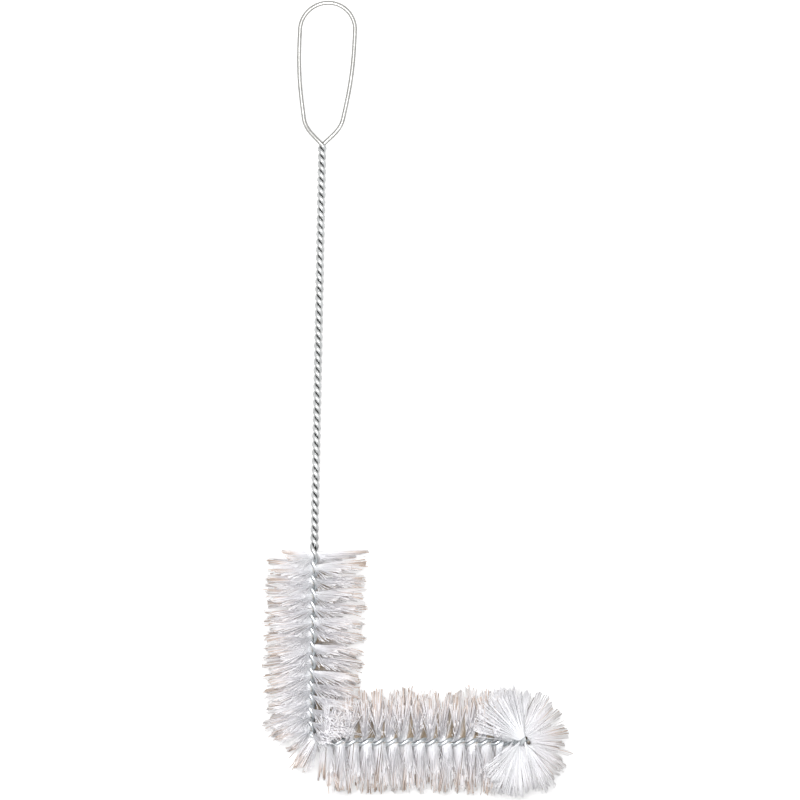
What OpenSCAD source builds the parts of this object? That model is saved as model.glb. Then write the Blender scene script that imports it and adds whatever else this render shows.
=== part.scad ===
// Bottle brush with an L-shaped head.
//
// One steel wire is folded in half. The fold is the hanging loop, and the two
// strands below it are twisted together, left-handed, into a stem. Further down
// the same twist grips flat bundles of nylon bristles at their middle, so that
// they wind round the wire as a double spiral staircase. The bristled end is
// bent into an L, and its tip is turned up.
//
// The brush lies flat: the L is level, the long stem runs towards +Y and dips
// until the far end of the loop rests on the ground. The origin is at the
// middle of the footprint, on the ground.

/* [Wire] */
// Thickness of the wire
wire_d = 2.0; // [1.6:0.1:2.4]
// Space between the two strands of the bare stem
strand_gap = 0.1; // [0.08:0.01:0.2]

/* [Hanging loop] */
// Length from where the strands first cross to the far end of the loop
loop_len = 69.6; // [50:0.2:90]
// Outside width of the loop
loop_w = 28.4; // [22:0.2:36]
// Outside width of the loop at its shoulders
shoulder_w = 20.8; // [15:0.2:21]
// Distance of the shoulders from the first crossing
shoulder_len = 12.8; // [9:0.2:18]
// Lean of the loop to the side of the stem, in degrees
loop_lean = 1.5; // [0:0.5:6]

/* [Stem] */
// Length of the bare stem, from the first crossing to the bristles
stem_len = 195; // [120:1:260]
// Length of one turn of the twist beside the loop
stem_pitch = 7.34; // [7.2:0.02:12]
// Length of one turn of the twist at the lower end of the stem
stem_pitch_low = 8.25; // [7.2:0.05:12]
// Radius of the bend that lets the loop rest on the ground
dip_r = 40; // [20:1:80]

/* [Bristled head] */
// Diameter over the bristles
brush_d = 50; // [36:1:60]
// Length of one turn of the twist that holds the bristles
brush_pitch = 12.7; // [11:0.1:14.5]
// Straight length of the leg in line with the stem
upper_leg = 84.3; // [50:0.1:110]
// Straight length of the leg across the stem
lower_leg = 83.6; // [50:0.1:110]
// Radius of the corner of the L, at the middle of the wire
corner_r = 7; // [6:0.5:12]
// Turn of the corner, in degrees
corner_turn = 91.1; // [60:0.1:110]
// Radius of the bend before the tip
tip_r = 8; // [6:0.5:14]
// Turn of the tip up from the ground, in degrees
tip_turn = 60; // [20:1:75]
// Sideways lean of that turn, in degrees
tip_sway = 10; // [0:1:20]
// Straight length of the bristled tip
tip_len = 12; // [8:0.5:24]
// Bare wire past the last bristle
tip_bare = 2.5; // [1:0.1:5]

/* [Bristle bundles] */
// Bundles in each half turn
bundles_per_row = 11; // [8:1:12]
// Thickness of a bundle where the strands grip it
waist_t = 0.3; // [0.2:0.05:0.4]
// Width of a bundle along the wire, where it is gripped
waist_w = 0.3; // [0.2:0.05:0.35]
// Width of a bundle along the wire, at its ends
end_w = 0.8; // [0.4:0.05:0.8]
// Share of a bundle's place round the wire that its ends fill
fan_fill = 0.72; // [0.5:0.02:0.76]
// Space between a gripped bundle and each strand
grip_gap = 0.09; // [0.08:0.01:0.12]
// How much shorter than the longest bundle the shortest may be
raggedness = 4.5; // [0:0.5:8]
// How far the ends of the bundles lean along the wire
splay = 2.0; // [0:0.1:2.2]

/* [Hidden] */
wire_sides = 6;
rings_per_turn = 7.5;
neck_rings = 5;
leg_rings = 6;
top_rings = 7;
lean_period = 17;       // bundles in one wave of the lean along the wire
crowding = 0.55;        // share of a bend's radius that its inner bristles reach
grip_lead = 2;          // stem length over which the strands part, as far ahead of the bristles
neck_ease = 0.45;       // how soon the legs curve between the crossing and the shoulders
nudge = 0.01;           // step along a line to find its direction
hardly = 0.001;         // least cosine that counts as facing a bend
length_seed = 11;

wire_r = wire_d / 2;
brush_r = brush_d / 2;
stem_offset = wire_r + strand_gap / 2;
grip_offset = wire_r + waist_t / 2 + grip_gap;

corner_len = corner_r * corner_turn * PI / 180;
tip_bend_len = tip_r * tip_turn * PI / 180;
corner_end = upper_leg + corner_len;
tip_start = corner_end + lower_leg;
tip_bend_end = tip_start + tip_bend_len;
bristle_end = tip_bend_end + tip_len;
tip_side = 90 - tip_sway;

row_len = brush_pitch / 2;
rows = floor(bristle_end / row_len);
bundle_step = row_len / bundles_per_row;
bundle_turn = 180 / bundles_per_row;
bundle_count = rows * bundles_per_row;
fan_half = fan_fill * bundle_turn / 2;
wire_end = rows * row_len + tip_bare;

// The stem dips by the angle at which the far end of the loop meets the ground.
drop = brush_r - wire_r;
loop_reach = (loop_len - wire_r) * cos(loop_lean);
function dip_for(length) =
    atan(dip_r / length) + asin((drop - dip_r) / norm([length, dip_r]));
first_dip = dip_for(stem_len + loop_reach);
dip = dip_for(stem_len + loop_reach - dip_r * first_dip * PI / 180);
dip_len = dip_r * dip * PI / 180;

function row_name(row) = str("bristle_row_", row < 9 ? "0" : "", row + 1);

// ---- The line along the middle of the twist ----
// A place on it is [point, ahead, left, up].

function unit(v) = v / norm(v);
function ease(t) = let (x = min(1, max(0, t))) x * x * (3 - 2 * x);
function across(place, angle) = cos(angle) * place[2] + sin(angle) * place[3];
function onward(place, length) = [place[0] + length * place[1], place[1], place[2], place[3]];
function reversed(place) = [place[0], -place[1], -place[2], place[3]];

// The place after a bend of the given radius and turn, towards the side at an
// angle round the line: 0 is left and 90 is up.
function bent(place, radius, turn, side) =
    let (inward = across(place, side),
         sideways = across(place, side + 90),
         new_inward = cos(turn) * inward - sin(turn) * place[1])
    [place[0] + radius * (sin(turn) * place[1] + (1 - cos(turn)) * inward),
     cos(turn) * place[1] + sin(turn) * inward,
     cos(side) * new_inward - sin(side) * sideways,
     sin(side) * new_inward + cos(side) * sideways];

head_start = [[0, 0, 0],
              [cos(corner_turn), -sin(corner_turn), 0],
              [sin(corner_turn), cos(corner_turn), 0],
              [0, 0, 1]];
corner_start = onward(head_start, upper_leg);
lower_start = bent(corner_start, corner_r, corner_turn, 0);
tip_bend_start = onward(lower_start, lower_leg);
tip_place = bent(tip_bend_start, tip_r, tip_turn, tip_side);
stem_start = bent(reversed(head_start), dip_r, dip, -90);
neck = reversed(onward(stem_start, stem_len - dip_len));

// s is the distance from the first bristles: positive down the head, negative up the stem.
function place_at(s) =
    s < -dip_len ? reversed(onward(stem_start, -s - dip_len))
    : s < 0 ? reversed(bent(reversed(head_start), dip_r, -s / dip_len * dip, -90))
    : s < upper_leg ? onward(head_start, s)
    : s < corner_end ? bent(corner_start, corner_r, (s - upper_leg) / corner_len * corner_turn, 0)
    : s < tip_start ? onward(lower_start, s - corner_end)
    : s < tip_bend_end ? bent(tip_bend_start, tip_r, (s - tip_start) / tip_bend_len * tip_turn, tip_side)
    : onward(tip_place, s - tip_bend_end);

// ---- The twist ----

// The lay opens out a little ahead of the bristles, where the strands part to take them.
tight_len = stem_len - grip_lead;
tight_turns = tight_len * (1 / stem_pitch + 1 / stem_pitch_low) / 2;
easing = (1 / stem_pitch_low - 1 / stem_pitch) / tight_len;
function turns_at(s) =
    let (x = s + stem_len)
    x < tight_len ? x / stem_pitch + easing * x * x / 2
                  : tight_turns + (x - tight_len) / brush_pitch;
// Angle round the line of the first strand, which lies on top where the strands first cross.
function lay(s) = 90 - 360 * turns_at(s);
function strand_offset(s) =
    stem_offset + (grip_offset - stem_offset) * ease(2 + s / grip_lead);

// ---- The wire ----
// It is drawn from the tip up the first strand, round the loop and down the
// second strand, as three solids that meet face to face where the strands first
// cross. A section of it is [middle, direction, reference across it].
function section(middle, next, reference) =
    let (direction = unit(next - middle))
    [middle, direction, unit(reference - (reference * direction) * direction)];

function strand_point(s, strand) =
    let (place = place_at(s))
    place[0] + strand * strand_offset(s) * across(place, lay(s));
function strand_section(s, strand) =
    section(strand_point(s, strand), strand_point(s - strand * nudge, strand),
            across(place_at(s), lay(s)));

loop_r = (loop_w - wire_d) / 2;
shoulder = [(shoulder_w - wire_d) / 2, shoulder_len];
leg = [loop_r - shoulder[0], loop_len - wire_r - loop_r - shoulder_len];
neck_slope = atan(2 * PI * stem_offset / stem_pitch);
neck_handle = shoulder_len * neck_ease;
leg_start = unit([2 * leg[0], leg[1]]);

// One half of the loop, from the crossing (0) past the shoulder (1) and up the
// leg (2) to the middle of the fold (3), as [sideways, along, height].
function curve(a, b, c, d, t) =
    pow(1 - t, 3) * a + 3 * t * pow(1 - t, 2) * b + 3 * t * t * (1 - t) * c + pow(t, 3) * d;
function half_loop(t) =
    t < 1 ? concat(curve([0, 0], neck_handle * [sin(neck_slope), cos(neck_slope)],
                         shoulder - neck_handle * leg_start, shoulder, t),
                   stem_offset * (1 - ease(t)))
    : t < 2 ? [shoulder[0] + leg[0] * (t - 1 + sin(180 * (t - 1)) / PI),
               shoulder[1] + leg[1] * (t - 1), 0]
    : [loop_r * cos(90 * (t - 2)), shoulder[1] + leg[1] + loop_r * sin(90 * (t - 2)), 0];

function loop_point(t, strand) =
    let (p = half_loop(t))
    neck[0] - p[1] * neck[1] + (p[1] * tan(loop_lean) - strand * p[0]) * neck[2]
            + strand * p[2] * neck[3];
function loop_section(t, strand) =
    section(loop_point(t, strand), loop_point(t + strand * nudge, strand), neck[3]);

function steps(count) = [for (i = [0 : count - 1]) i / count];
half_loop_steps = concat([for (t = steps(neck_rings)) t], [for (t = steps(leg_rings)) 1 + t],
                         [for (t = steps(top_rings)) 2 + t]);
stem_rings = ceil(tight_turns * rings_per_turn);
head_rings = ceil(wire_end / brush_pitch * rings_per_turn);
strand_stations = concat([for (t = steps(head_rings)) wire_end * (1 - t)],
                         [for (t = steps(stem_rings)) -stem_len * t]);

function backwards(list) = [for (i = [len(list) - 1 : -1 : 0]) list[i]];
first_strand = concat([for (s = strand_stations) strand_section(s, 1)], [loop_section(0, 1)]);
second_strand = concat([loop_section(0, -1)],
                       [for (s = backwards(strand_stations)) strand_section(s, -1)]);
loop_sections = concat([for (t = half_loop_steps) loop_section(t, 1)],
                       [loop_section(3, 1)],
                       [for (t = backwards(half_loop_steps)) loop_section(t, -1)]);

function ring(s) =
    let (aside = cross(s[1], s[2]))
    [for (angle = [0 : 360 / wire_sides : 359])
        s[0] + wire_r * (cos(angle) * s[2] + sin(angle) * aside)];
function rings(sections) = [for (s = sections) each ring(s)];
wire_points = rings(concat(first_strand, loop_sections, second_strand));

// Faces of a tube through rings of points, closed at both ends.
function tube_faces(rings, sides) = concat(
    [[for (k = [0 : sides - 1]) k]],
    [for (i = [0 : rings - 2], k = [0 : sides - 1])
        let (a = i * sides + k, b = i * sides + (k + 1) % sides)
        each [[a, a + sides, b], [b, a + sides, b + sides]]],
    [[for (k = [sides - 1 : -1 : 0]) (rings - 1) * sides + k]]);

module tube(sections) polyhedron(rings(sections), tube_faces(len(sections), wire_sides));

// ---- The bristle bundles ----

length_share = rands(0, 1, 2 * bundle_count, length_seed);

// On the inner side of a bend the bristles of the two legs would meet, so they
// stop short of the line that halves the bend.
function bend_room(ahead, radius, turn) =
    crowding * radius + max(0, ahead - splay) / tan(turn / 2);
function to_corner(s) = max(upper_leg - s, s - corner_end);
function to_tip_bend(s) = max(tip_start - s, s - tip_bend_end);
function room(s, place, direction) =
    let (at_corner = direction * place[2],
         at_tip = direction * across(place, tip_side))
    min(brush_r * cos(fan_half),
        bend_room(to_corner(s), corner_r, corner_turn) / max(at_corner, hardly),
        bend_room(to_tip_bend(s), tip_r, tip_turn) / max(at_tip, hardly));
// How much closer together the bundles stand at the end of this one than at the wire.
function squeeze(s, place, end) =
    to_corner(s) < bundle_step ? 1 - max(0, end * place[2]) / corner_r
    : to_tip_bend(s) < bundle_step ? 1 - max(0, end * across(place, tip_side)) / tip_r
    : 1;

function rectangle(middle, a, b) = [middle + a + b, middle - a + b, middle - a - b, middle + a - b];
// The end of bundle i to one side (1 or -1) of the wire.
function bundle_end(i, s, place, side) =
    let (direction = side * across(place, lay(s) + 90),
         around = side * across(place, lay(s) + 180),
         full = room(s, place, direction),
         reach = full * (1 - raggedness / brush_r * length_share[2 * i + (side + 1) / 2]),
         tight = squeeze(s, place, reach * direction),
         lean = tight * splay * reach / brush_r
                * sin(360 * (i + side * lean_period / 3) / lean_period))
    rectangle(place[0] + reach * direction + lean * place[1],
              side * (waist_t / 2 + reach * tan(fan_half)) * around,
              tight * tight * (waist_w + (end_w - waist_w) * reach / brush_r) / 2 * place[1]);
function bundle_points(i) =
    let (s = (i + 0.5) * bundle_step,
         place = place_at(s),
         around = across(place, lay(s) + 180))
    concat(bundle_end(i, s, place, -1),
           rectangle(place[0], waist_t / 2 * around, waist_w / 2 * place[1]),
           bundle_end(i, s, place, 1));

module bundle(i) polyhedron(bundle_points(i), tube_faces(3, 4));

// ---- Place on the ground ----

all_points = concat(wire_points, [for (i = [0 : bundle_count - 1]) each bundle_points(i)]);
low = [for (k = [0 : 2]) min([for (p = all_points) p[k]])];
high = [for (k = [0 : 2]) max([for (p = all_points) p[k]])];
origin = [(low.x + high.x) / 2, (low.y + high.y) / 2, low.z];

module loop_wire()
    color("silver")
    translate(-origin) tube(loop_sections);

module twisted_wire()
    color("silver")
    translate(-origin) {
        tube(first_strand);
        tube(second_strand);
    }

module bristle_row(row)
    color("ghostwhite")
    translate(-origin)
    for (i = [0 : bundles_per_row - 1]) bundle(row * bundles_per_row + i);

loop_wire();
twisted_wire();
for (row = [0 : rows - 1])
    bristle_row(row);
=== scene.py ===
import math

import bpy
import numpy as np
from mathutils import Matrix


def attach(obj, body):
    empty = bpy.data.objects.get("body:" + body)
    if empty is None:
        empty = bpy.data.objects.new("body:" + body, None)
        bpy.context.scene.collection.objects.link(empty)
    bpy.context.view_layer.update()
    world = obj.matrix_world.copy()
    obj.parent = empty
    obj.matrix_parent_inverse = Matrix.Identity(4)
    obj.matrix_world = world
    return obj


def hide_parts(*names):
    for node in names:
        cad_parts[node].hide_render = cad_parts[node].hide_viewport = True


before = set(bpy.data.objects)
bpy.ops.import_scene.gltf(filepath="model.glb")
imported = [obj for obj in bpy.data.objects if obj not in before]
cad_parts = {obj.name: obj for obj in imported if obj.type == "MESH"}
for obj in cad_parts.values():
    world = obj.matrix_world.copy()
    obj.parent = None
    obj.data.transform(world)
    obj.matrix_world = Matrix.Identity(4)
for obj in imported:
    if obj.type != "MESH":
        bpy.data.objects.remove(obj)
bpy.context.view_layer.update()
print("frame loaded:", len(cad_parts), "nodes")

metre = 0.001  # one millimetre in metres
tiny = 1e-6  # keeps a division by nothing from failing

# The line along the middle of the twist, as the frame has it, in millimetres and degrees.
line = {
    "start": (-47.5744, -73.7695, 24.9934),  # where it passes the first bristles
    "stemLength": 195.0,
    "dipRadius": 40.0,
    "dip": 5.26003,  # how far the stem slopes down to the loop
    "upperLeg": 84.3,
    "cornerRadius": 7.0,
    "cornerTurn": 91.1,
    "lowerLeg": 83.6,
    "tipRadius": 8.0,
    "tipTurn": 60.0,  # how far the tip is turned up
    "tipSway": 10.0,  # and how far to the inner side
    "bristledLength": 196.85,
    "bareEnd": 2.5,
}


def smoothStep(t):
    x = np.clip(t, 0, 1)
    return x * x * (3 - 2 * x)


# From 0 at the start smoothly up to 1, over the given length or amount.
def rise(values, start, over):
    return smoothStep((values - start) / over)


# From 1 at the start smoothly down to 0.
def fade(values, start, over):
    return 1 - rise(values, start, over)


# A place on the line is (point, ahead, left, up).
def across(place, angle):
    return math.cos(angle) * place[2] + math.sin(angle) * place[3]


def onward(place, length):
    return (place[0] + length * place[1], place[1], place[2], place[3])


def turnedRound(place):
    return (place[0], -place[1], -place[2], place[3])


def bent(place, radius, turn, side):
    inward = across(place, side)
    sideways = across(place, side + math.pi / 2)
    newInward = math.cos(turn) * inward - math.sin(turn) * place[1]
    return (
        place[0] + radius * (math.sin(turn) * place[1] + (1 - math.cos(turn)) * inward),
        math.cos(turn) * place[1] + math.sin(turn) * inward,
        math.cos(side) * newInward - math.sin(side) * sideways,
        math.sin(side) * newInward + math.cos(side) * sideways,
    )


cornerTurn = math.radians(line["cornerTurn"])
tipTurn = math.radians(line["tipTurn"])
dip = math.radians(line["dip"])
tipSide = math.radians(90 - line["tipSway"])
downwards = -math.pi / 2

# Distances from the first bristles, down the head. They are negative up the stem.
dipLength = line["dipRadius"] * dip
cornerStart = line["upperLeg"]
cornerEnd = cornerStart + line["cornerRadius"] * cornerTurn
cornerMiddle = (cornerStart + cornerEnd) / 2
tipBend = cornerEnd + line["lowerLeg"]
tipStart = tipBend + line["tipRadius"] * tipTurn
wireEnd = line["bristledLength"] + line["bareEnd"]

headStart = (
    np.array(line["start"]),
    np.array([math.cos(cornerTurn), -math.sin(cornerTurn), 0]),
    np.array([math.sin(cornerTurn), math.cos(cornerTurn), 0]),
    np.array([0.0, 0.0, 1.0]),
)
cornerPlace = onward(headStart, cornerStart)
lowerPlace = bent(cornerPlace, line["cornerRadius"], cornerTurn, 0)
tipBendPlace = onward(lowerPlace, line["lowerLeg"])
tipPlace = bent(tipBendPlace, line["tipRadius"], tipTurn, tipSide)
stemStart = turnedRound(headStart)
stemPlace = bent(stemStart, line["dipRadius"], dip, downwards)
neckPlace = turnedRound(onward(stemPlace, line["stemLength"] - dipLength))


def placeAt(s):
    if s < -dipLength:
        return turnedRound(onward(stemPlace, -s - dipLength))
    if s < 0:
        return turnedRound(bent(stemStart, line["dipRadius"], -s / dipLength * dip, downwards))
    if s < cornerStart:
        return onward(headStart, s)
    if s < cornerEnd:
        return bent(cornerPlace, line["cornerRadius"], (s - cornerStart) / line["cornerRadius"], 0)
    if s < tipBend:
        return onward(lowerPlace, s - cornerEnd)
    if s < tipStart:
        return bent(tipBendPlace, line["tipRadius"], (s - tipBend) / line["tipRadius"], tipSide)
    return onward(tipPlace, s - tipStart)


twist = {
    "stemPitch": 7.34,  # one turn beside the loop
    "stemPitchLow": 8.25,  # one turn at the lower end of the stem
    "brushPitch": 12.7,  # one turn through the bristles
    "gripLead": 2.0,  # the strands part between two of these and one ahead of the bristles
    "stemOffset": 1.05,  # from the line to the middle of a strand
    "gripOffset": 1.24,  # and through the bristles
    "gripStretch": 1.17,  # how much longer a strand is than the line through the bristles
}


def turnsAt(s):
    tight = line["stemLength"] - twist["gripLead"]
    x = s + line["stemLength"]
    easing = (1 / twist["stemPitchLow"] - 1 / twist["stemPitch"]) / tight
    if x < tight:
        return x / twist["stemPitch"] + easing * x * x / 2
    turnsBefore = tight / twist["stemPitch"] + easing * tight * tight / 2
    return turnsBefore + (x - tight) / twist["brushPitch"]


# The angle of the first strand round the line; it lies on top where the strands first cross.
def layAt(s):
    return math.pi / 2 - 2 * math.pi * turnsAt(s)


def strandPoint(s, strand):
    place = placeAt(s)
    parted = float(rise(s, -2 * twist["gripLead"], over=twist["gripLead"]))
    offset = twist["stemOffset"] + (twist["gripOffset"] - twist["stemOffset"]) * parted
    return place[0] + strand * offset * across(place, layAt(s))


def deselectAll():
    if bpy.context.object and bpy.context.object.mode != "OBJECT":
        bpy.ops.object.mode_set(mode="OBJECT")
    bpy.ops.object.select_all(action="DESELECT")


def select(piece):
    deselectAll()
    piece.select_set(True)
    bpy.context.view_layer.objects.active = piece


def lengths(vectors):
    return np.linalg.norm(vectors, axis=-1, keepdims=True)


def vertexArray(mesh):
    points = np.zeros(len(mesh.vertices) * 3)
    mesh.vertices.foreach_get("co", points)
    return points.reshape(-1, 3)


def keepOnPoints(mesh, name, values):
    kind, field = ("FLOAT_VECTOR", "vector") if values.ndim == 2 else ("FLOAT", "value")
    attribute = mesh.attributes.new(name, kind, "POINT")
    attribute.data.foreach_set(field, values.astype(np.float32).ravel())


def newMaterial(name):
    material = bpy.data.materials.new(name)
    material.use_nodes = True
    nodes = material.node_tree.nodes
    return material, nodes, material.node_tree.links, nodes["Principled BSDF"]


def attributeNode(nodes, name, output="Fac"):
    node = nodes.new("ShaderNodeAttribute")
    node.attribute_name = name
    return node.outputs[output]


def noiseNode(nodes, links, coordinates, scale, detail, roughness):
    node = nodes.new("ShaderNodeTexNoise")
    node.inputs["Scale"].default_value = scale
    node.inputs["Detail"].default_value = detail
    node.inputs["Roughness"].default_value = roughness
    links.new(coordinates, node.inputs["Vector"])
    return node.outputs["Fac"]


noiseRange = (0.3, 0.7)  # where nearly all of a noise's values lie


def rangeNode(nodes, links, value, results, taken=noiseRange):
    node = nodes.new("ShaderNodeMapRange")
    node.inputs["From Min"].default_value = taken[0]
    node.inputs["From Max"].default_value = taken[1]
    node.inputs["To Min"].default_value = results[0]
    node.inputs["To Max"].default_value = results[1]
    links.new(value, node.inputs["Value"])
    return node.outputs["Result"]


def rampNode(nodes, links, value, colors, positions=noiseRange):
    node = nodes.new("ShaderNodeValToRGB")
    ramp = node.color_ramp
    while len(ramp.elements) < len(colors):
        ramp.elements.new(0.5)
    for element, position, color in zip(ramp.elements, positions, colors):
        element.position = position
        element.color = (*color, 1)
    links.new(value, node.inputs["Fac"])
    return node.outputs["Color"]


def mixNode(nodes, links, blend, factor, a, b):
    node = nodes.new("ShaderNodeMix")
    node.data_type = "RGBA"
    node.blend_type = blend
    if isinstance(factor, float):
        node.inputs["Factor"].default_value = factor
    else:
        links.new(factor, node.inputs["Factor"])
    colorA, colorB = node.inputs[6:8]
    for socket, value in ((colorA, a), (colorB, b)):
        if isinstance(value, tuple):
            socket.default_value = (*value, 1)
        else:
            links.new(value, socket)
    return node.outputs[2]  # the mixed colour


def addBump(nodes, links, shader, height, strength, distance):
    bump = nodes.new("ShaderNodeBump")
    bump.inputs["Strength"].default_value = strength
    bump.inputs["Distance"].default_value = distance
    links.new(height, bump.inputs["Height"])
    links.new(bump.outputs["Normal"], shader.inputs["Normal"])


# Sizes are in millimetres, and a noise is its scale, detail and roughness.
wire = {
    "thickness": 2.0,
    "sides": 14,
    "ringStep": 0.85,
    "routeStep": 0.1,  # between the points that the wire is laid along
    "loopSteps": 600,
    "endBevel": 0.16,
    "loopLength": 69.6,
    "loopWidth": 28.4,
    "shoulderWidth": 20.8,
    "shoulderLength": 12.8,
    "neckEase": 0.45,  # the length of the neck's handles, as a share of the shoulder's
    "lean": 1.5,  # degrees by which the loop leans to the line's left side
    "smoothAngle": 40.0,
    # dull and bright colours; the same wire is painted darker round the loop as painted shade, and
    # lighter among the bristles as painted light
    "loopPaintedShadeColors": ((0.36, 0.355, 0.34), (0.48, 0.475, 0.46)),
    "stemColors": ((0.54, 0.545, 0.54), (0.70, 0.71, 0.71)),
    "headPaintedLightColors": ((0.68, 0.71, 0.72), (0.84, 0.87, 0.88)),
    "streakColors": ((0.82, 0.83, 0.84), (1.0, 1.0, 1.0)),
    "streakNoise": (5200, 3.0, 0.6),
    "streakSqueeze": 0.04,  # its scale along the wire, as a share of that across it
    "patchNoise": (420, 3.0, 0.6),
    # painted shade, dark, in the crevice where the strands face each other
    "grooveShadeColor": (0.07, 0.065, 0.055),
    "grooveRange": (0.5, 0.85),  # where the painted shade comes in and where it is full
    "grooveShadeAmount": 0.94,
    "lessGrooveShadeInHead": 0.46,  # as a share, between the bristles
    "cutColor": (0.10, 0.09, 0.08),
    "edgeTint": (0.16, 0.15, 0.13),
    "roughness": (0.30, 0.42),
    "bumpStrength": 0.12,
    "bumpHeight": 0.00002,
}


def bezier(a, b, c, d, t):
    return (1 - t) ** 3 * a + 3 * t * (1 - t) ** 2 * b + 3 * t * t * (1 - t) * c + t**3 * d


# Half of the loop, from the crossing (0) past the shoulder (1) and up the leg (2) to its middle (3).
def halfLoop(t):
    radius = (wire["loopWidth"] - wire["thickness"]) / 2
    shoulder = np.array([(wire["shoulderWidth"] - wire["thickness"]) / 2, wire["shoulderLength"]])
    straight = wire["loopLength"] - wire["thickness"] / 2 - radius - shoulder[1]
    leg = np.array([radius - shoulder[0], straight])
    slope = math.atan(2 * math.pi * twist["stemOffset"] / twist["stemPitch"])
    handle = shoulder[1] * wire["neckEase"]
    legStart = np.array([2 * leg[0], leg[1]]) / math.hypot(2 * leg[0], leg[1])
    if t < 1:
        start = handle * np.array([math.sin(slope), math.cos(slope)])
        neck = bezier(np.zeros(2), start, shoulder - handle * legStart, shoulder, t)
        return (*neck, twist["stemOffset"] * float(1 - smoothStep(t)))
    if t < 2:
        u = t - 1
        widening = u + math.sin(math.pi * u) / math.pi
        return (shoulder[0] + leg[0] * widening, shoulder[1] + leg[1] * u, 0)
    turn = math.pi / 2 * (t - 2)
    return (radius * math.cos(turn), shoulder[1] + leg[1] + radius * math.sin(turn), 0)


def loopPoint(t, strand):
    aside, along, height = halfLoop(t)
    point, ahead, left, up = neckPlace
    sideways = along * math.tan(math.radians(wire["lean"])) - strand * aside
    return point - along * ahead + sideways * left + strand * height * up


# Close points along the whole wire: up the first strand, round the loop and down the second.
# With them go the points of the twist axis, which lie far off round the loop.
def wireRoute():
    farOff = (0, 0, 100)
    stations = np.arange(wireEnd, -line["stemLength"], -wire["routeStep"])
    loopTimes = np.linspace(0, 3, wire["loopSteps"] + 1)
    route = [strandPoint(s, 1) for s in stations]
    route += [loopPoint(t, 1) for t in loopTimes]
    route += [loopPoint(t, -1) for t in loopTimes[-2::-1]]
    route += [strandPoint(s, -1) for s in stations[::-1]]
    axis = [placeAt(s)[0] for s in stations]
    aside = [point + farOff for point in route[len(stations):-len(stations)]]
    return np.array(route), np.array(axis + aside + axis[::-1])


# The wire before it is bent, standing straight up in rings one step apart.
def straightWire(length):
    ringCount = round(length / wire["ringStep"])
    step = length / ringCount
    deselectAll()
    bpy.ops.mesh.primitive_circle_add(vertices=wire["sides"], radius=wire["thickness"] / 2)
    piece = bpy.context.object
    piece.name = "wire"
    bpy.ops.object.mode_set(mode="EDIT")
    bpy.ops.mesh.select_all(action="SELECT")
    bpy.ops.mesh.extrude_region_move(TRANSFORM_OT_translate={"value": (0, 0, step)})
    bpy.ops.object.mode_set(mode="OBJECT")
    array = piece.modifiers.new("length", "ARRAY")
    array.count = ringCount
    array.use_relative_offset = False
    array.use_constant_offset = True
    array.constant_offset_displace = (0, 0, step)
    array.use_merge_vertices = True
    array.merge_threshold = step / 20
    bpy.ops.object.modifier_apply(modifier=array.name)

    # Both ends are closed and their rims rounded.
    for end in (0.0, length):
        bpy.ops.object.mode_set(mode="EDIT")
        bpy.ops.mesh.select_mode(type="VERT")
        bpy.ops.mesh.select_all(action="DESELECT")
        bpy.ops.object.mode_set(mode="OBJECT")
        heights = vertexArray(piece.data)[:, 2]
        piece.data.vertices.foreach_set("select", np.abs(heights - end) < step / 4)
        bpy.ops.object.mode_set(mode="EDIT")
        bpy.ops.mesh.edge_face_add()
        bpy.ops.mesh.bevel(offset=wire["endBevel"], segments=2, affect="EDGES")
    bpy.ops.mesh.select_all(action="SELECT")
    bpy.ops.mesh.normals_make_consistent(inside=False)
    bpy.ops.object.mode_set(mode="OBJECT")
    return piece


# Two directions across each ring, carried along the route without a turn of their own.
def ringSides(directions):
    slanting = (0.3, 0.5, 0.8)  # any direction but the wire's own
    asides = np.zeros_like(directions)
    aside = np.cross(directions[0], slanting)
    for k, direction in enumerate(directions):
        aside = aside - direction * np.dot(aside, direction)
        aside /= np.linalg.norm(aside)
        asides[k] = aside
    return asides, np.cross(directions, asides)


def makeWire():
    route, axisRoute = wireRoute()
    steps = lengths(np.diff(route, axis=0))[:, 0]
    reached = np.concatenate([[0], np.cumsum(steps)])
    length = reached[-1]

    def pointsAt(distances, points):
        return np.stack([np.interp(distances, reached, points[:, k]) for k in range(3)], axis=1)

    piece = straightWire(length)
    mesh = piece.data
    straight = vertexArray(mesh)
    heights = straight[:, 2]
    keepOnPoints(mesh, "straight", straight * metre)
    fromEnd = np.minimum(heights, length - heights)
    keepOnPoints(mesh, "cut", (fromEnd < wire["endBevel"] / 2).astype(float))

    # The straight wire is laid along its route.
    rings = np.unique(np.round(heights, 4))
    ringOf = np.searchsorted(rings, np.round(heights, 4))
    middles = pointsAt(rings, route)
    nudge = wire["routeStep"] / 2
    directions = pointsAt(rings + nudge, route) - pointsAt(rings - nudge, route)
    directions /= lengths(directions)
    asides, others = ringSides(directions)
    laid = middles[ringOf] + straight[:, :1] * asides[ringOf] + straight[:, 1:2] * others[ringOf]
    mesh.vertices.foreach_set("co", (laid * metre).ravel())
    mesh.update()

    # The groove is 0 on the outside of a strand, 1 where it faces the other, and 0 round the loop; it
    # sets the painted shade in the crevice between the strands.
    inward = pointsAt(rings, axisRoute) - middles
    twisted = np.clip(2 - lengths(inward)[:, 0] / twist["gripOffset"], 0, 1)
    inward /= np.maximum(lengths(inward), tiny)
    facing = ((laid - middles[ringOf]) * inward[ringOf]).sum(1) / (wire["thickness"] / 2)
    strandGripped = line["bristledLength"] * twist["gripStretch"]
    gripped = np.minimum(rings, length - rings) < strandGripped
    groove = (facing + 1) / 2 * twisted[ringOf]
    keepOnPoints(mesh, "groove", groove * (1 - wire["lessGrooveShadeInHead"] * gripped[ringOf]))
    keepOnPoints(mesh, "gripped", gripped[ringOf].astype(float))
    keepOnPoints(mesh, "twisted", twisted[ringOf])
    select(piece)
    bpy.ops.object.shade_smooth_by_angle(angle=math.radians(wire["smoothAngle"]))
    return piece


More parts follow.
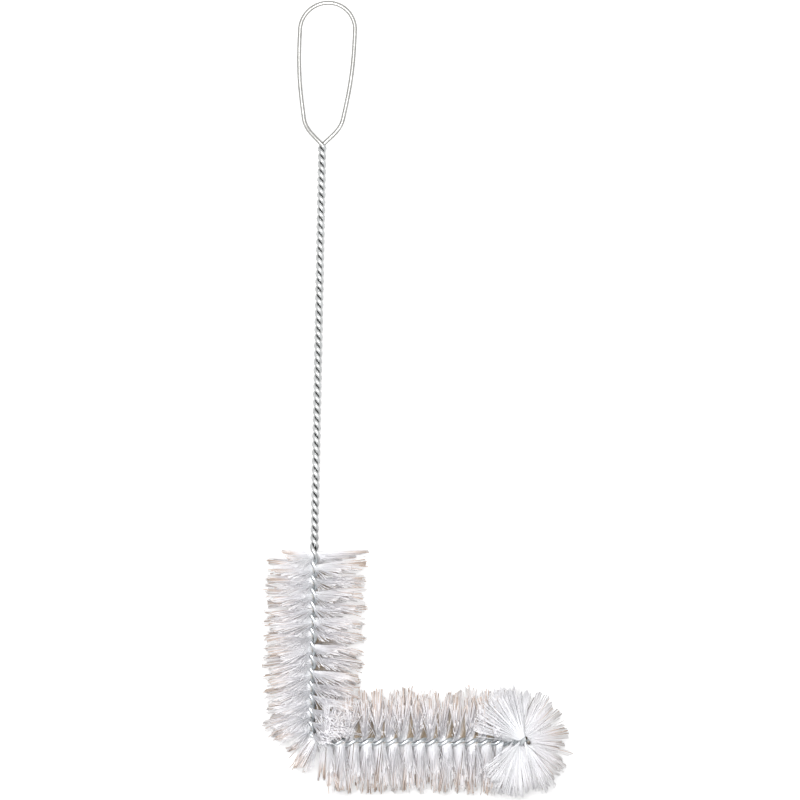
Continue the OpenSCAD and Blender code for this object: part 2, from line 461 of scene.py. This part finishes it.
def wireMaterial():
    material, nodes, links, shader = newMaterial("galvanisedWire")
    straight = attributeNode(nodes, "straight", "Vector")
    stretch = nodes.new("ShaderNodeMapping")
    stretch.inputs["Scale"].default_value = (1, 1, wire["streakSqueeze"])
    links.new(straight, stretch.inputs["Vector"])
    drawn = noiseNode(nodes, links, stretch.outputs["Vector"], *wire["streakNoise"])
    patches = noiseNode(nodes, links, straight, *wire["patchNoise"])
    # The loop's darker colours are painted shade, and the head's lighter ones are painted light, on one
    # and the same wire.
    color = rampNode(nodes, links, patches, wire["loopPaintedShadeColors"])
    stem = rampNode(nodes, links, patches, wire["stemColors"])
    head = rampNode(nodes, links, patches, wire["headPaintedLightColors"])
    color = mixNode(nodes, links, "MIX", attributeNode(nodes, "twisted"), color, stem)
    color = mixNode(nodes, links, "MIX", attributeNode(nodes, "gripped"), color, head)
    streaks = rampNode(nodes, links, drawn, wire["streakColors"])
    color = mixNode(nodes, links, "MULTIPLY", 1.0, color, streaks)
    # Painted shade darkens the strands where they face each other, less so between the bristles.
    groove = attributeNode(nodes, "groove")
    grooveShade = rangeNode(nodes, links, groove, (0.0, wire["grooveShadeAmount"]), wire["grooveRange"])
    color = mixNode(nodes, links, "MIX", grooveShade, color, wire["grooveShadeColor"])
    color = mixNode(nodes, links, "MIX", attributeNode(nodes, "cut"), color, wire["cutColor"])
    links.new(color, shader.inputs["Base Color"])
    roughness = rangeNode(nodes, links, drawn, wire["roughness"])
    links.new(roughness, shader.inputs["Roughness"])
    addBump(nodes, links, shader, drawn, wire["bumpStrength"], wire["bumpHeight"])
    shader.inputs["Metallic"].default_value = 1.0
    shader.inputs["Specular Tint"].default_value = (*wire["edgeTint"], 1)
    return material


wirePiece = makeWire()
wirePiece.data.materials.append(wireMaterial())
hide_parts("loop_wire", "twisted_wire")
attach(wirePiece, "root")
print("wire laid:", len(wirePiece.data.polygons), "faces")

# Lengths are in millimetres, and "less", "more" and "further" are shares. A setting that changes
# along the wire is a row of (distance, value) pairs.
bristles = {
    "perMillimetre": 21.0,  # filaments gripped along the wire
    "thickness": 0.4,
    "joints": (0.08, 0.25, 0.5, 0.75),  # where a filament may bend, as shares of its reach
    "bow": 0.006,  # how far it bows, as a share of its reach
    "startCrowd": 2.4,  # how many times closer they stand over the first stretch
    "startLength": 1.6,
    "endCrowd": 1.5,  # and over the last one
    "endStarts": 0.91,  # as a share of the bristled length
    "seed": 3,
    "pieces": 8,
    # how far they reach, and how much further the ones that lie flat do
    "reach": 24.85,
    "furtherInside": ((cornerStart, 0.07), (cornerEnd, 0.12), (tipBend - 4, 0.12), (tipBend + 2, 0.07)),
    "furtherOutside": ((cornerStart, 0.01), (cornerEnd, 0.06), (tipBend - 4, 0.06), (tipBend + 2, 0.07)),
    "furtherAtTip": 0.05,
    "furtherOnward": 1.3,  # how much more so where they point on past the leg, to the right
    # degrees round the wire
    "ownSwing": 4.0,
    "parting": ((cornerStart, 9.0), (cornerEnd, 18.0), (tipBend, 18.0), (tipStart, 21.0)),
    "partingReach": 60.0,  # how far from the top they part
    "partingFade": 1.5,  # the power by which they part less, the further they are
    "partingLine": 0.8,  # the nearest ones, above this nearness, have no swing of their own
    "flattened": ((cornerStart, 8.0), (cornerEnd, 13.0)),  # how much flatter the steep ones lie
    "cornerLift": 46.0,  # how far the ones crowded inside the corner stand up
    "cornerCrowd": 25.0,  # how far along each leg they are crowded, in millimetres
    "crowdedSwing": 2.5,  # how many times their own swing is added
    # degrees along the wire, down the head
    "combing": (
        (0, -3.0),
        (12, 0.0),
        (30, 6.0),
        (60, 14.0),
        (cornerStart, 24.0),
        (cornerEnd, 3.0),
        (cornerEnd + 8, 0.0),
    ),
    "combedLessOnTop": 0.85,
    "combedLessCrowded": 0.6,
    "steepLean": 2.0,  # how far the steepest ones lean
    "ownLean": 5.5,
    "ownLeanAtStart": 0.25,  # as a share of that
    "ownLeanLessOnTop": 0.3,
    "ownLeanMoreOnLowerLeg": 0.25,
    "ownLeanLessAtTip": 0.45,
    "ownLeanMoreCrowded": 0.4,
    "straightRoot": 7.0,  # a filament hardly leans before it is about this far out
    "fallOnTop": 6.0,  # how far the ones on top fall towards the lower leg, in degrees
    # the gaps that the strands leave beside the wire
    "gap": 4.2,
    "gapVaries": (0.5, 1.3),  # times that
    "gapLessOnLowerLeg": 0.4,
    "gapsClosed": 0.5,  # share of the lower leg's gaps that are nearly closed
    "gapLessClosed": 0.8,
    "gapLessNearCorner": 0.6,
    "gapNearsCorner": 56.0,  # from where on
    "gapLessAtStart": 0.7,
    "gapStartLength": 3.0,  # how far the start goes
    "gapWidens": ((cornerStart, 2.5), (cornerEnd, 7.0)),  # how far out a gap has its full width
    "gapCloses": ((cornerStart, 14.0), (cornerEnd, 21.0)),  # and how far out it closes
    "behindGap": 4.5,  # how far the ones beneath lean over behind it
    "behindFrom": 8.0,  # how far out they do so in full
    "behindEnds": 4.0,  # they stop doing so over this length, before the tip's bend
    # the tufts that their ends stand in
    "perTuft": 7,
    "cornerTuft": 4.0,  # how many times larger the tufts are outside the corner
    "tuftRadius": 1.5,
    "tuftEdge": 1.5,  # radii beyond which its ends are cut no shorter
    "strays": 0.05,  # share that stand alone
    "gather": 0.6,  # how far they are drawn to the tuft's middle
    "gatherOnTop": 0.05,
    "gatherVaries": (0.6, 1.0),  # times that
    "gatherMoreAtCorner": 0.4,
    "gatherLessAtTip": 0.5,
    "gatherFrom": 2.2,  # the power by which a filament turns to its tuft, the further out it is
    # how much shorter they are
    "tuftFallsShort": 0.145,
    "cornerFallsShort": 0.2,
    "ownFallsShort": 0.025,
    "edgeFallsShort": 0.02,  # at the edge of a tuft
    "rowFallsShort": 0.055,
    "firstFallsShort": 0.35,  # the first ones on the outer side
    "firstLength": 2.2,
    # how they are coloured
    "leastTipTint": 0.3,  # the tips darken most on the ones that lie flat
    "tipTintFade": 2.5,
    "tipTintChange": 2.0,  # and from this far before the tip's bend, on those that point right
    "tanShare": 0.28,  # share of the ones that lie flat whose outer part is tan
    "moreTanAtCorner": 1.6,
    "lessTanAtTip": 0.55,
    "tanFrom": 0.55,  # where along their reach the tan comes in
    "fewerDarkAtTip": 0.03,
    "fewerShadeStreaksOnUpperLeg": 0.022,
    "cleftWidth": 0.3,  # how far to each side of a gap the ones beneath get the brown painted shade, in half turns
    "cleftDepth": 7.0,
    "cleftMargin": 6.0,  # how far short of the gap's outer end the painted shade begins to fade
    "cleftEnds": 0.75,  # and the share of their reach where it does
    "nylonColors": ((0.97, 0.98, 1.0), (0.98, 0.972, 0.995), (0.985, 0.967, 0.985), (0.97, 0.93, 0.91)),
    "nylonStops": (0.0, 0.35, 0.7, 1.0),
    # a random few filaments are painted dark, as painted shade between the filaments
    "shadeStreakColors": ((0.24, 0.19, 0.16), (0.34, 0.29, 0.26), (1, 1, 1)),
    "shadeStreakStops": (0.0, 0.03, 0.045),
    "tuftColors": ((0.95, 0.94, 0.935), (1, 1, 1)),
    "tuftStops": (0.0, 0.3),
    "tanColor": (0.69, 0.545, 0.45),
    # painted shade, brown, on the ones beneath a gap near the wire
    "cleftShadeColor": (0.54, 0.445, 0.335),
    "grainNoise": (2600, 2.0, 0.5),
    "roughness": (0.32, 0.5),
    "bumpStrength": 0.1,
    "bumpHeight": 0.00001,
    "refraction": 1.53,
}


# A setting's value at each place along the wire.
def changing(name, stations):
    distances, values = zip(*bristles[name])
    return np.interp(stations, distances, values)


# Random values between two limits.
def varied(chance, limits, count):
    least, most = limits
    return least + (most - least) * chance.random(count)


# Whole numbers that start at 0.
def numbered(values):
    numbers = values.astype(int)
    return numbers - numbers.min()


# A straight filament 1 thick and 2 long, with a ring of points at each joint.
def filamentPattern():
    deselectAll()
    bpy.ops.mesh.primitive_cylinder_add(vertices=3, radius=0.5, depth=2.0, end_fill_type="NGON")
    pattern = bpy.context.object
    bpy.ops.object.mode_set(mode="EDIT")
    for joint in bristles["joints"]:
        for side in (-1, 1):
            bpy.ops.mesh.select_all(action="SELECT")
            bpy.ops.mesh.bisect(plane_co=(0, 0, side * joint), plane_no=(0, 0, 1))
    bpy.ops.mesh.select_all(action="SELECT")
    bpy.ops.mesh.quads_convert_to_tris()
    bpy.ops.object.mode_set(mode="OBJECT")
    points = vertexArray(pattern.data)
    corners = np.array([face.vertices[:] for face in pattern.data.polygons])
    bpy.data.objects.remove(pattern)
    return points, corners


# Where along the wire the filaments are gripped.
def gripStations(chance):
    count = int(bristles["perMillimetre"] * line["bristledLength"])
    even = (np.arange(count) + chance.random(count)) / count
    knots = np.array([
        0,
        bristles["startLength"],
        line["bristledLength"] * bristles["endStarts"],
        line["bristledLength"],
    ])
    crowding = np.diff(knots) * (bristles["startCrowd"], 1, bristles["endCrowd"])
    counted = np.concatenate([[0], np.cumsum(crowding)])
    return np.interp(even * counted[-1], counted, knots)


# The angle of each half filament round the wire, and how crowded it stands inside the corner.
def anglesRound(chance, stations, lays):
    swing = np.radians(chance.normal(0, bristles["ownSwing"], len(lays)))
    angles = lays + swing
    fromTop = np.remainder(angles + math.pi / 2, 2 * math.pi) - math.pi
    sideOfTop = np.sign(np.remainder(lays + math.pi / 2, 2 * math.pi) - math.pi)
    nearTop = np.clip(1 - np.abs(fromTop) / math.radians(bristles["partingReach"]), 0, 1)
    angles = np.where(nearTop > bristles["partingLine"], lays, angles)
    parting = np.radians(changing("parting", stations))
    angles = angles + parting * sideOfTop * nearTop ** bristles["partingFade"]
    flattening = np.radians(changing("flattened", stations))
    angles = angles + flattening * np.sin(2 * fromTop) * (np.abs(fromTop) < math.pi / 2)
    crowded = fade(np.abs(stations - cornerMiddle), start=0, over=bristles["cornerCrowd"])
    crowded *= np.maximum(np.cos(angles), 0) ** 2
    lift = math.radians(bristles["cornerLift"]) + bristles["crowdedSwing"] * swing
    return angles + lift * crowded, crowded


# How far each one leans along the wire, down the head.
def leansAlong(chance, stations, inner, onTop, crowded):
    lean = np.radians(changing("combing", stations))
    lean *= 1 - bristles["combedLessOnTop"] * np.maximum(onTop, 0) ** 2
    lean *= 1 - bristles["combedLessCrowded"] * crowded
    lean += math.radians(bristles["steepLean"]) * np.abs(onTop)
    atStart = bristles["ownLeanAtStart"]
    share = atStart + (1 - atStart) * rise(stations, start=0, over=4)
    share *= 1 - bristles["ownLeanLessOnTop"] * (1 - np.abs(inner))
    share *= 1 + bristles["ownLeanMoreOnLowerLeg"] * rise(stations, cornerEnd, over=10)
    share *= 1 - bristles["ownLeanLessAtTip"] * rise(stations, tipBend, over=6)
    share *= 1 + bristles["ownLeanMoreCrowded"] * crowded
    return lean + np.radians(chance.normal(0, bristles["ownLean"], len(stations))) * share


# How wide the gap beside each one is, how far the ones beneath lean over behind it, and how far
# off it is, in half turns. There is a gap for each half turn.
def openGaps(chance, stations, halfTurns, inner, beneath):
    fromGap = halfTurns - np.round(halfTurns)
    gapOf = numbered(np.round(halfTurns))
    gapCount = gapOf.max() + 1
    opening = bristles["gap"] * varied(chance, bristles["gapVaries"], gapCount)[gapOf]
    closed = (chance.random(gapCount) < bristles["gapsClosed"])[gapOf]
    nearCorner = rise(stations, bristles["gapNearsCorner"], over=20) * (stations < cornerEnd)
    opening *= 1 - bristles["gapLessClosed"] * closed * (stations > cornerEnd)
    opening *= 1 - bristles["gapLessOnLowerLeg"] * rise(stations, cornerEnd, over=4)
    opening *= 1 - bristles["gapLessNearCorner"] * nearCorner
    opening *= 1 - bristles["gapLessAtStart"] * (stations < bristles["gapStartLength"])
    closeness = (1 - 2 * np.abs(fromGap)) * (inner > 0)
    leansBehind = bristles["behindGap"] * closeness * beneath
    return opening * closeness * (fromGap > 0), leansBehind, fromGap


# How far each one would reach if nothing were cut off it.
def fullReach(stations, inner, toRight):
    inside = changing("furtherInside", stations)
    outside = changing("furtherOutside", stations)
    further = np.where(inner > 0, inside, outside)
    onward = 1 + bristles["furtherOnward"] * np.maximum(toRight, 0)
    full = bristles["reach"] * (1 + further * inner**2)
    return full * (1 + bristles["furtherAtTip"] * onward * rise(stations, tipBend, over=6))


# Which middle each end is nearest to, and how far it stands from it.
def nearestMiddle(ends, middles):
    nearest = np.zeros(len(ends), int)
    gaps = np.zeros(len(ends))
    batch = 500
    for first in range(0, len(ends), batch):
        part = slice(first, first + batch)
        apart = lengths(ends[part, None] - middles[None])[..., 0]
        nearest[part] = apart.argmin(axis=1)
        gaps[part] = apart.min(axis=1)
    return nearest, gaps


# Some ends become the middles of tufts, and each end belongs to the nearest.
def chooseTufts(chance, ends, outsideCorner):
    weights = 1 / (1 + (bristles["cornerTuft"] - 1) * outsideCorner)
    weights /= weights.sum()
    count = len(ends)
    tufts = chance.choice(count, count // bristles["perTuft"], replace=False, p=weights)
    tuftOf, fromMiddle = nearestMiddle(ends, ends[tufts])
    return tufts, tuftOf, fromMiddle


# How strongly each end is drawn to the middle of its tuft.
def pullsToTuft(chance, stations, onTop, outsideCorner, stray):
    pull = bristles["gather"] + (bristles["gatherOnTop"] - bristles["gather"]) * smoothStep(onTop)
    pull *= varied(chance, bristles["gatherVaries"], len(stations))
    pull *= 1 + bristles["gatherMoreAtCorner"] * outsideCorner
    pull *= 1 - bristles["gatherLessAtTip"] * rise(stations, tipBend, over=8)
    pull[stray] = 0
    return pull


# The middle lines of one side's half filaments at some shares of their reach, and their tints.
def layHalves(chance, stations, places, side, shares):
    count = len(stations)
    middle, ahead, left, up = places
    lays = np.array([layAt(s) for s in stations]) + side * math.pi / 2
    angles, crowded = anglesRound(chance, stations, lays)
    outward = np.cos(angles)[:, None] * left + np.sin(angles)[:, None] * up
    onTop = outward[:, 2]
    inner = np.cos(lays)  # 1 flat on the corner's inner side, -1 flat on its outer side
    lean = leansAlong(chance, stations, inner, onTop, crowded)
    fall = math.tan(math.radians(bristles["fallOnTop"])) * np.maximum(onTop, 0) * (1 - crowded)
    stray = chance.random(count) < bristles["strays"]
    beneath = (onTop < 0) * fade(stations, tipBend - bristles["behindEnds"], over=bristles["behindEnds"])
    halfTurns = (math.pi / 2 - lays) / math.pi
    opening, leansBehind, fromGap = openGaps(chance, stations, halfTurns, inner, beneath)
    gapWidens = changing("gapWidens", stations)
    gapCloses = changing("gapCloses", stations)

    def leaning(out):
        along = out * out / (out + bristles["straightRoot"]) * np.tan(lean)
        radial = np.sqrt(np.maximum(out**2 - along**2, 0))
        offset = radial[:, None] * outward + along[:, None] * ahead
        offset[:, 1] -= radial * fall
        offset *= out[:, None] / np.maximum(lengths(offset), tiny)
        beside = out * np.maximum(inner, 0)
        aside = opening * rise(out, start=0, over=gapWidens) * fade(beside, start=0, over=gapCloses)
        aside += leansBehind * rise(out, start=0, over=bristles["behindFrom"])
        return offset + aside[:, None] * ahead

    full = fullReach(stations, inner, outward[:, 0])
    ends = middle + leaning(full)
    outsideCorner = fade(np.abs(stations - cornerMiddle), start=6, over=4)
    outsideCorner *= rise(-inner, start=0, over=0.5)
    tufts, tuftOf, fromMiddle = chooseTufts(chance, ends, outsideCorner)
    pull = pullsToTuft(chance, stations, onTop, outsideCorner, stray)
    drawn = (ends[tufts][tuftOf] - ends) * pull[:, None]

    # The powers leave most of them nearly whole.
    rowOf = numbered(np.floor(halfTurns))
    edge = np.minimum(fromMiddle / bristles["tuftRadius"], bristles["tuftEdge"])
    short = bristles["tuftFallsShort"] * chance.random(len(tufts))[tuftOf] ** 2
    short += (bristles["cornerFallsShort"] * outsideCorner[tufts] * chance.random(len(tufts)))[tuftOf]
    short += bristles["ownFallsShort"] * chance.random(count) ** 3
    short += bristles["edgeFallsShort"] * edge**2 * (~stray)
    short += bristles["rowFallsShort"] * (chance.random(rowOf.max() + 1) ** 1.5)[rowOf]
    short += bristles["firstFallsShort"] * (stations < bristles["firstLength"]) * (inner < 0)
    reach = full * (1 - short)
    bow = chance.normal(0, bristles["bow"], (count, 3)) * reach[:, None]
    toneOfTuft = chance.random(len(tufts))[tuftOf]

    def lineAt(share):
        bowed = bow * 4 * share * (share - 1) * share
        return middle + leaning(share * reach) + drawn * share ** bristles["gatherFrom"] + bowed

    # The ones beneath a gap get a brown painted shade near the wire.
    def cleftShadeAt(share):
        depth = share * bristles["reach"] * np.maximum(-onTop, 0)
        beside = share * bristles["reach"] * np.maximum(inner, 0)
        cleftShade = beneath * (inner > 0) * fade(np.abs(fromGap), bristles["cleftWidth"], over=0.12)
        cleftShade *= rise(stations, bristles["gapStartLength"], over=3)
        cleftShade *= fade(depth, bristles["cleftDepth"], over=6)
        cleftShade *= fade(beside, gapCloses - bristles["cleftMargin"], over=5)
        return cleftShade * fade(share, bristles["cleftEnds"], over=0.2)

    nearTip = stations > tipBend - bristles["tipTintChange"]
    toRight = rise(outward[:, 0], start=-0.2, over=1)
    sideways = np.where(nearTip, toRight, np.abs(np.cos(angles)))
    lyingFlat = sideways ** bristles["tipTintFade"] * (1 - crowded)
    tipTint = bristles["leastTipTint"] + (1 - bristles["leastTipTint"]) * lyingFlat
    tanShare = bristles["tanShare"] * (1 + bristles["moreTanAtCorner"] * outsideCorner)
    tanShare *= 1 - bristles["lessTanAtTip"] * rise(stations, tipBend, over=4)
    tanOnes = (chance.random(count) < tanShare) * lyingFlat

    def atShares(valuesAt):
        return np.stack([valuesAt(share) for share in shares], axis=1)

    tints = {
        "reach": atShares(lambda share: share * tipTint),
        "tuftTone": atShares(lambda share: toneOfTuft),
        "cleftShade": atShares(cleftShadeAt),
        "tan": atShares(lambda share: tanOnes * rise(share, bristles["tanFrom"], over=0.3)),
    }
    return atShares(lineAt), tints


def makeBristles():
    chance = np.random.default_rng(bristles["seed"])
    stations = gripStations(chance)
    count = len(stations)
    places = [np.array(parts) for parts in zip(*[placeAt(s) for s in stations])]
    points, corners = filamentPattern()
    shares = np.unique(np.round(points[:, 2], 4))
    ringOf = np.searchsorted(shares, np.round(points[:, 2], 4))
    firstLines, firstTints = layHalves(chance, stations, places, -1, -shares[shares < 0])
    secondLines, secondTints = layHalves(chance, stations, places, 1, shares[shares > 0])
    centres = np.concatenate([firstLines, secondLines], axis=1)
    kept = {}
    for name in firstTints:
        kept[name] = np.concatenate([firstTints[name], secondTints[name]], axis=1)[:, ringOf]

    # Each filament's pattern is set round its middle line.
    ahead = places[1][:, None, :]
    tangents = np.gradient(centres, axis=1)
    tangents /= lengths(tangents)
    aside = ahead - (tangents * ahead).sum(2)[:, :, None] * tangents
    aside /= lengths(aside)
    other = np.cross(tangents, aside)
    vertices = (
        centres[:, ringOf]
        + points[None, :, :1] * bristles["thickness"] * aside[:, ringOf]
        + points[None, :, 1:2] * bristles["thickness"] * other[:, ringOf]
    )
    # A random few filaments are painted dark, as painted shade streaks.
    ownShadeStreak = chance.random(count)
    ownShadeStreak += bristles["fewerDarkAtTip"] * rise(stations, tipBend, over=4)
    ownShadeStreak += bristles["fewerShadeStreaksOnUpperLeg"] * fade(stations, cornerStart, over=6)
    kept["shadeStreak"] = np.broadcast_to(ownShadeStreak[:, None], (count, len(points)))

    rowLength = twist["brushPitch"] / 2
    rows = round(line["bristledLength"] / rowLength)
    rowOf = np.minimum((stations / rowLength).astype(int), rows - 1)
    pieces = []
    for group in np.array_split(np.arange(rows), bristles["pieces"]):
        chosen = np.isin(rowOf, group)
        groupPoints = vertices[chosen].reshape(-1, 3) * metre
        firstPoints = np.arange(chosen.sum())[:, None, None] * len(points)
        faces = (corners[None] + firstPoints).reshape(-1, 3)
        mesh = bpy.data.meshes.new("bristles%02d" % (len(pieces) + 1))
        mesh.from_pydata(groupPoints, [], faces)
        for name, values in kept.items():
            keepOnPoints(mesh, name, values[chosen].ravel())
        piece = bpy.data.objects.new(mesh.name, mesh)
        bpy.context.scene.collection.objects.link(piece)
        select(piece)
        bpy.ops.object.shade_smooth()
        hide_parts(*["bristle_row_%02d" % (row + 1) for row in group])
        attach(piece, "root")
        pieces.append(piece)
    return pieces


def bristleMaterial():
    material, nodes, links, shader = newMaterial("nylonFilament")
    reach = attributeNode(nodes, "reach")
    shadeStreak = attributeNode(nodes, "shadeStreak")
    tuftTone = attributeNode(nodes, "tuftTone")
    color = rampNode(nodes, links, reach, bristles["nylonColors"], bristles["nylonStops"])
    # Painted shade: the few darkest filaments stand in for shadows between them.
    shadeStreaks = rampNode(nodes, links, shadeStreak, bristles["shadeStreakColors"], bristles["shadeStreakStops"])
    color = mixNode(nodes, links, "MULTIPLY", 1.0, color, shadeStreaks)
    shared = rampNode(nodes, links, tuftTone, bristles["tuftColors"], bristles["tuftStops"])
    color = mixNode(nodes, links, "MULTIPLY", 1.0, color, shared)
    color = mixNode(nodes, links, "MIX", attributeNode(nodes, "tan"), color, bristles["tanColor"])
    # Painted shade in the cleft beneath each gap.
    color = mixNode(nodes, links, "MIX", attributeNode(nodes, "cleftShade"), color, bristles["cleftShadeColor"])
    links.new(color, shader.inputs["Base Color"])
    place = nodes.new("ShaderNodeTexCoord").outputs["Object"]
    grain = noiseNode(nodes, links, place, *bristles["grainNoise"])
    roughness = rangeNode(nodes, links, grain, bristles["roughness"])
    links.new(roughness, shader.inputs["Roughness"])
    addBump(nodes, links, shader, grain, bristles["bumpStrength"], bristles["bumpHeight"])
    shader.inputs["IOR"].default_value = bristles["refraction"]
    return material


bristlePieces = makeBristles()
nylon = bristleMaterial()
for piece in bristlePieces:
    piece.data.materials.append(nylon)
print("bristles laid:", sum(len(piece.data.polygons) for piece in bristlePieces), "triangles")

studio = {
    "floorSize": 8.0,
    "floorColor": (0.95, 0.95, 0.95),
    "floorGlow": 0.3,
    "worldLight": 0.18,
    "aim": (-0.00652, -0.00168, 0.013),
    "cameraDistance": 2.5,
    "cameraTilt": 3.0,  # degrees from straight down
    "frameWidth": 0.3838,  # what the view takes in at the aim
    "nearest": 0.05,  # the camera sees nothing closer or further off than these
    "furthest": 20.0,
    "lamps": (  # place, size, power in watts
        ((-0.06, 0.10, 1.4), 0.25, 14.5),
        ((-0.02, -0.02, 1.5), 1.1, 7.0),
    ),
    "bounces": 20,  # light goes deep into pale bristles
    "diffuseBounces": 14,
}


# 1 for rays from the camera, also by way of metal or a clear thing, and 0 for all others.
def seenDirectly(nodes, links):
    path = nodes.new("ShaderNodeLightPath")
    total = path.outputs["Is Camera Ray"]
    for name in ("Is Glossy Ray", "Is Transmission Ray"):
        larger = nodes.new("ShaderNodeMath")
        larger.operation = "MAXIMUM"
        links.new(total, larger.inputs[0])
        links.new(path.outputs[name], larger.inputs[1])
        total = larger.outputs[0]
    return total


def scaled(nodes, links, value, factor, addend=0.0):
    node = nodes.new("ShaderNodeMath")
    node.operation = "MULTIPLY_ADD"
    node.inputs[1].default_value = factor
    node.inputs[2].default_value = addend
    links.new(value, node.inputs[0])
    return node.outputs[0]


def makeFloor():
    deselectAll()
    bpy.ops.mesh.primitive_plane_add(size=studio["floorSize"])
    floor = bpy.context.object
    floor.name = "floor"
    material, nodes, links, shader = newMaterial("paleFloor")
    shader.inputs["Base Color"].default_value = (*studio["floorColor"], 1)
    shader.inputs["Roughness"].default_value = 1.0
    shader.inputs["Specular IOR Level"].default_value = 0.0
    shader.inputs["Emission Color"].default_value = (1, 1, 1, 1)
    seen = seenDirectly(nodes, links)
    glow = scaled(nodes, links, seen, studio["floorGlow"])
    links.new(glow, shader.inputs["Emission Strength"])
    floor.data.materials.append(material)


def makeWorld():
    world = bpy.data.worlds.new("studio")
    bpy.context.scene.world = world
    world.use_nodes = True
    nodes, links = world.node_tree.nodes, world.node_tree.links
    background = nodes["Background"]
    background.inputs["Color"].default_value = (1, 1, 1, 1)
    seen = seenDirectly(nodes, links)
    glow = scaled(nodes, links, seen, 1 - studio["worldLight"], studio["worldLight"])
    links.new(glow, background.inputs["Strength"])


def makeLamps():
    for number, (place, size, power) in enumerate(studio["lamps"]):
        light = bpy.data.lights.new("lamp%d" % number, "AREA")
        light.shape = "SQUARE"
        light.size = size
        light.energy = power
        lamp = bpy.data.objects.new(light.name, light)
        bpy.context.scene.collection.objects.link(lamp)
        lamp.location = place
        toBrush = -lamp.location
        lamp.rotation_euler = toBrush.to_track_quat("-Z", "Y").to_euler()


def makeCamera():
    data = bpy.data.cameras.new("camera")
    camera = bpy.data.objects.new("camera", data)
    bpy.context.scene.collection.objects.link(camera)
    tilt = math.radians(studio["cameraTilt"])
    distance = studio["cameraDistance"]
    x, y, z = studio["aim"]
    camera.location = (x, y + distance * math.sin(tilt), z + distance * math.cos(tilt))
    camera.rotation_euler = (-tilt, 0, 0)
    data.lens = data.sensor_width * distance / studio["frameWidth"]
    data.clip_start = studio["nearest"]
    data.clip_end = studio["furthest"]
    bpy.context.scene.camera = camera


makeFloor()
makeWorld()
makeLamps()
makeCamera()
bpy.context.scene.view_settings.view_transform = "Standard"
bpy.context.scene.cycles.max_bounces = studio["bounces"]
bpy.context.scene.cycles.diffuse_bounces = studio["diffuseBounces"]
print("studio set")
